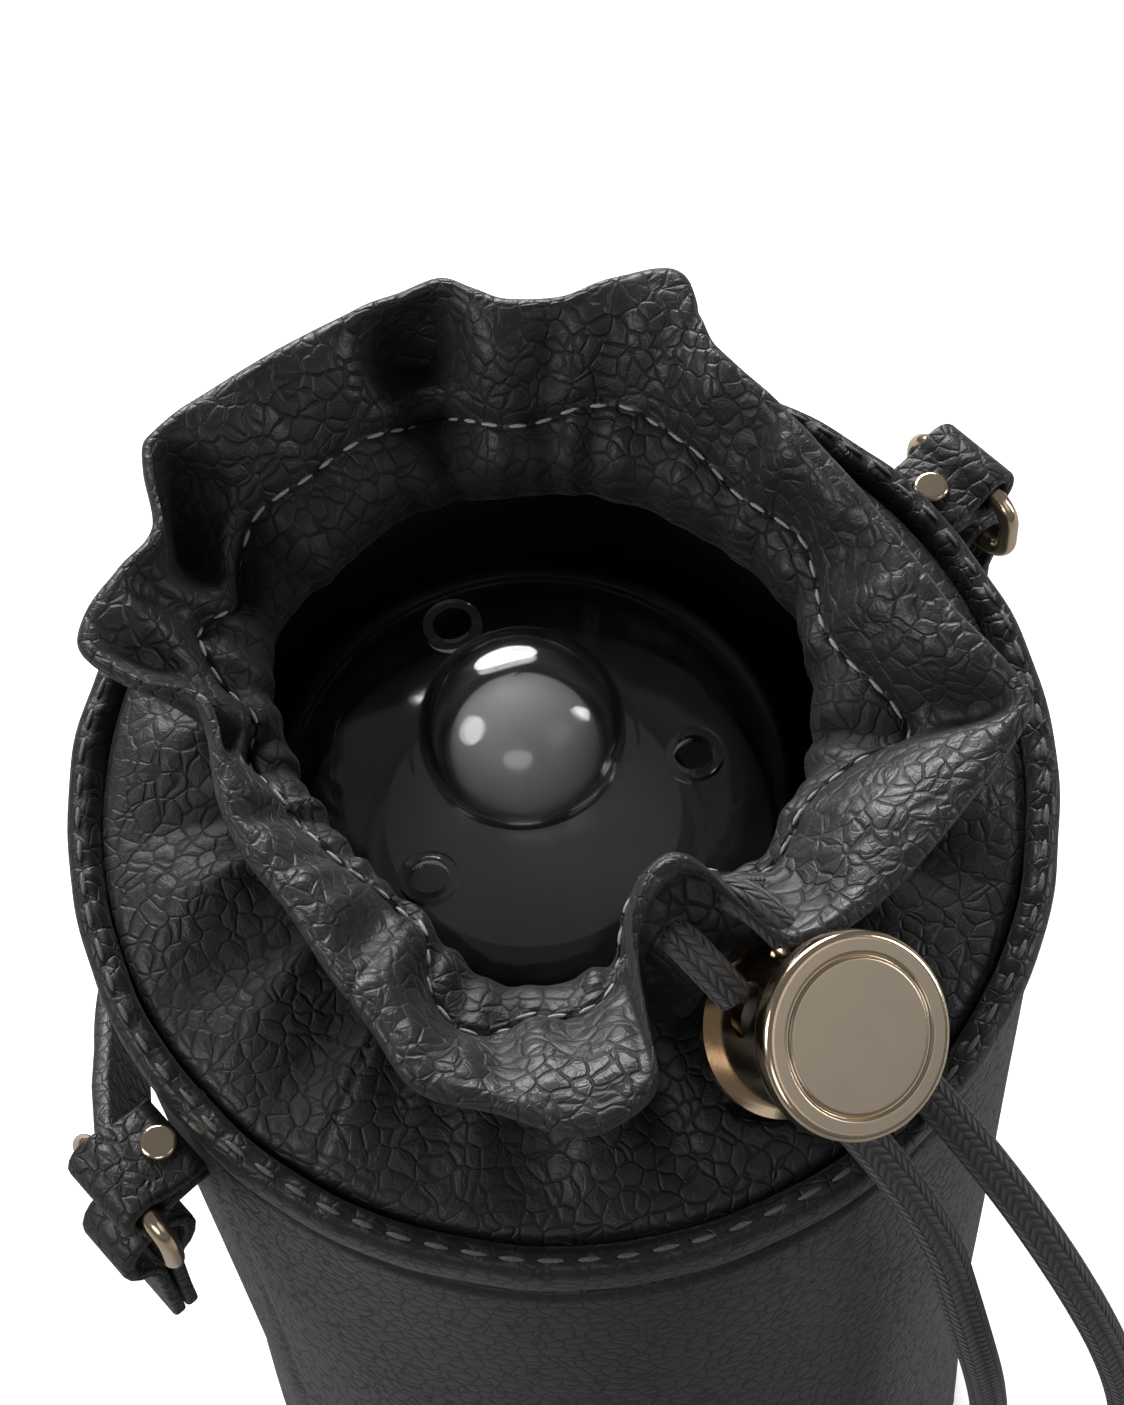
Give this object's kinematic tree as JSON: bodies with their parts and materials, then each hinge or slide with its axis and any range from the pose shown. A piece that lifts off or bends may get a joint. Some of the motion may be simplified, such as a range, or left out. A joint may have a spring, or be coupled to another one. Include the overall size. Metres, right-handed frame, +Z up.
{
  "type": "drawstring bottle pouch",
  "caption": "Cylindrical leather pouch with a gathered mouth, a metal spring cord lock, side rings with a strap, and a capped bottle inside.",
  "frame": {"origin": "centre of the pouch's base, on the surface it stands on", "axes": "+Z up along the pouch, -Y towards the cord lock at the front, +X towards the right side ring"},
  "size_m": [0.1174, 0.1233, 0.1948],
  "materials": {
    "leather": "pebbled, satin",
    "lining_cloth": "matt woven",
    "board": "matt",
    "braided_cord": "braided, matt",
    "gold_metal": "polished pale gold plate",
    "spring_steel": "bright wire",
    "bottle_plastic": "translucent",
    "ring_plastic": "satin",
    "silicone": "soft translucent",
    "clear_plastic": "clear moulded plastic"
  },
  "bodies": {
    "pouch": {"body_front_panel": "leather", "body_back_panel": "leather", "base_panel": "leather", "rim_band": "leather", "collar_front_panel": "leather", "collar_back_panel": "leather", "mouth_facing": "leather", "tab_left": "leather", "tab_right": "leather", "strap": "leather", "strap_end_left": "leather", "strap_end_right": "leather", "tab_rivet_left": "gold_metal", "tab_rivet_right": "gold_metal", "strap_stud_left": "gold_metal", "strap_stud_right": "gold_metal", "drawcord_loop": "braided_cord", "cord_left": "braided_cord", "cord_right": "braided_cord", "knot_left": "braided_cord", "knot_right": "braided_cord", "body_lining": "lining_cloth", "base_board": "board"},
    "cord_lock": {"lock_housing": "gold_metal"},
    "lock_button": {"lock_button": "gold_metal", "lock_spring": "spring_steel"},
    "ring_left": {"ring_left": "gold_metal"},
    "ring_right": {"ring_right": "gold_metal"},
    "bottle": {"bottle_body": "bottle_plastic", "bottle_ring": "ring_plastic", "bottle_teat": "silicone", "bottle_cap": "clear_plastic"}
  },
  "joints": [
    {"name": "cord_lock_slide", "type": "slide", "parent": "pouch", "child": "cord_lock", "axis": [0.1559, -0.7415, -0.6526], "range_m": [0, 0.004]},
    {"name": "lock_button_press", "type": "slide", "parent": "cord_lock", "child": "lock_button", "axis": [-0.0272, 0.6572, -0.7533], "range_m": [0, 0.0015], "stiffness_N_per_m": 800, "springref_m": -0.001, "deforming": ["lock_spring"]},
    {"name": "ring_left_swing", "type": "hinge", "parent": "pouch", "child": "ring_left", "pos_m": [-0.0544, 0, 0.16358], "axis": [0, 1, 0], "range_deg": [-5, 5]},
    {"name": "ring_right_swing", "type": "hinge", "parent": "pouch", "child": "ring_right", "pos_m": [0.0544, 0, 0.17002], "axis": [0, 1, 0], "range_deg": [-5, 5]},
    {"name": "bottle_lift", "type": "slide", "parent": "pouch", "child": "bottle", "axis": [0, 0, 1], "range_m": [0, 0.19]}
  ]
}
